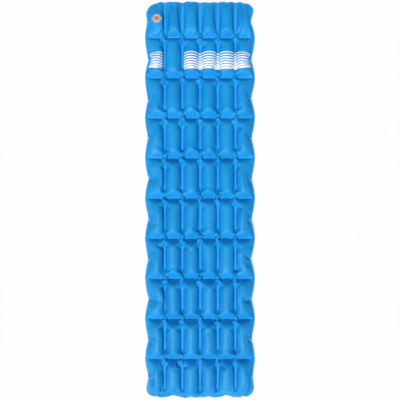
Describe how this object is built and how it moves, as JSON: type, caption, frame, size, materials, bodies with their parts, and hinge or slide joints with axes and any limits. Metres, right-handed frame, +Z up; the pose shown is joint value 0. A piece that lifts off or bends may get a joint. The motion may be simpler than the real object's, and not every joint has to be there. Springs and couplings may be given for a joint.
{
  "type": "inflatable sleeping pad",
  "caption": "Inflatable camping sleeping pad, two coated sheets welded into rows of tube-shaped cells, with a flat two-stage valve in one head-end corner.",
  "frame": {"origin": "centre of the underside, on the surface that the pad lies on", "axes": "+Y along the pad towards the head end, +X across it to the right of a sleeper on their back seen from above with the head up, +Z up through its thickness"},
  "size_m": [0.51, 1.83, 0.076],
  "materials": {
    "top_fabric": "satin",
    "bottom_fabric": "satin",
    "valve_grey": "satin",
    "valve_dark": "satin",
    "valve_light": "satin",
    "seal_rubber": "matte",
    "flap_rubber": "matte",
    "plug_orange": "satin"
  },
  "bodies": {
    "base": {"bottom_sheet": "bottom_fabric"},
    "top": {"top_sheet": "top_fabric", "valve_flange": "valve_grey", "tether_ring": "valve_dark"},
    "stopper": {"deflate_stopper": "valve_light", "stopper_seal": "seal_rubber"},
    "plug": {"inflate_plug": "plug_orange"},
    "flap": {"check_flap": "flap_rubber"}
  },
  "joints": [
    {"name": "air_compression", "type": "slide", "parent": "base", "child": "top", "axis": [0, 0, -1], "range_m": [0, 0.055], "stiffness_N_per_m": 40000, "deforming": ["top_sheet", "bottom_sheet"]},
    {"name": "stopper_hinge", "type": "hinge", "parent": "top", "child": "stopper", "pos_m": [-0.2179, 0.827, 0.0713], "axis": [0, -1, 0], "range_deg": [0, 150]},
    {"name": "plug_hinge", "type": "hinge", "parent": "stopper", "child": "plug", "pos_m": [-0.1837, 0.827, 0.0737], "axis": [0, 1, 0], "range_deg": [0, 150]},
    {"name": "flap_slide", "type": "slide", "parent": "stopper", "child": "flap", "axis": [0, 0, -1], "range_m": [0, 0.0025], "stiffness_N_per_m": 30}
  ]
}
